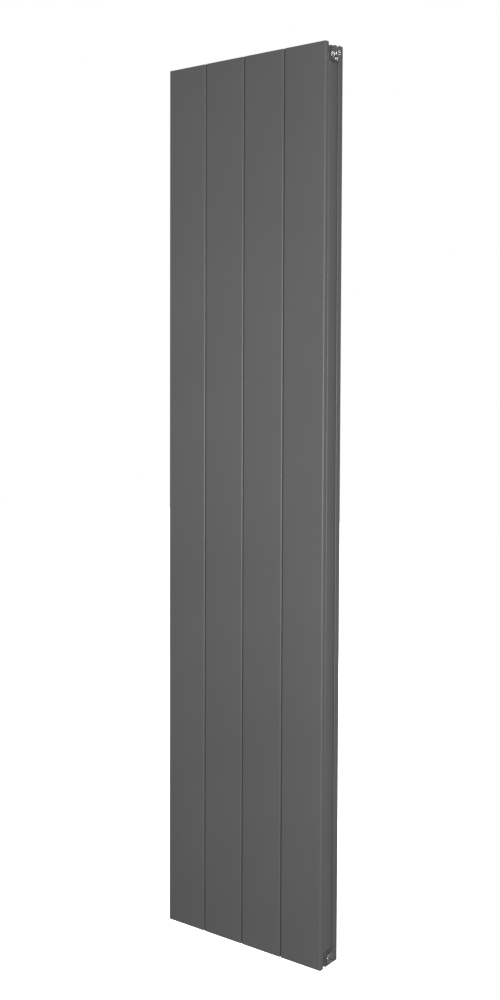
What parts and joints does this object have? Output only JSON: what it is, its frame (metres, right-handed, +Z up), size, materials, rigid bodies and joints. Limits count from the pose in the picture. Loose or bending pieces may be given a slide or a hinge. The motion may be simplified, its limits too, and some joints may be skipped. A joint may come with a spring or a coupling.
{
  "type": "vertical panel radiator",
  "caption": "Tall, slim double-panel aluminium radiator of flat upright sections, with headers, blanking plugs and an air vent.",
  "frame": {"origin": "middle of the panels' footprint, at the level of their lower ends", "axes": "+Z up along the sections; +X to the right as seen from the room; +Y from the front face towards the wall"},
  "size_m": [0.3876, 0.066, 1.8],
  "materials": {
    "panel_coat": "matte",
    "head_coat": "matte",
    "chrome": "polished",
    "plated_steel": "satin",
    "nickel_brass": "satin",
    "rubber": "matte",
    "gasket_fibre": "matte"
  },
  "bodies": {
    "radiator": {"section_1": "panel_coat", "section_2": "panel_coat", "section_3": "panel_coat", "section_4": "panel_coat", "top_head_1": "head_coat", "top_head_2": "head_coat", "top_head_3": "head_coat", "top_head_4": "head_coat", "bottom_head_1": "head_coat", "bottom_head_2": "head_coat", "bottom_head_3": "head_coat", "bottom_head_4": "head_coat", "top_tube_seal_1": "rubber", "top_tube_seal_2": "rubber", "top_tube_seal_3": "rubber", "top_tube_seal_4": "rubber", "bottom_tube_seal_1": "rubber", "bottom_tube_seal_2": "rubber", "bottom_tube_seal_3": "rubber", "bottom_tube_seal_4": "rubber", "top_left_plug_seal": "rubber", "top_right_plug_seal": "rubber", "bottom_left_plug_seal": "rubber", "bottom_right_plug_seal": "rubber", "flow_diverter": "rubber", "top_nipple_1": "plated_steel", "top_nipple_2": "plated_steel", "top_nipple_3": "plated_steel", "bottom_nipple_1": "plated_steel", "bottom_nipple_2": "plated_steel", "bottom_nipple_3": "plated_steel", "top_joint_gasket_1": "gasket_fibre", "top_joint_gasket_2": "gasket_fibre", "top_joint_gasket_3": "gasket_fibre", "bottom_joint_gasket_1": "gasket_fibre", "bottom_joint_gasket_2": "gasket_fibre", "bottom_joint_gasket_3": "gasket_fibre", "top_left_blanking_plug": "chrome", "bottom_left_blanking_plug": "chrome", "bottom_right_blanking_plug": "chrome", "vent_plug": "chrome"},
    "vent_spout": {"vent_spout": "chrome"},
    "bleed_screw": {"bleed_screw": "nickel_brass"}
  },
  "joints": [
    {"name": "bleed_screw_turn", "type": "hinge", "parent": "radiator", "child": "bleed_screw", "pos_m": [0.19375, 0, 1.7817], "axis": [1, 0, 0], "range_deg": [0, 360]},
    {"name": "vent_spout_turn", "type": "hinge", "parent": "radiator", "child": "vent_spout", "pos_m": [0.19275, 0, 1.7817], "axis": [1, 0, 0], "continuous": true}
  ]
}
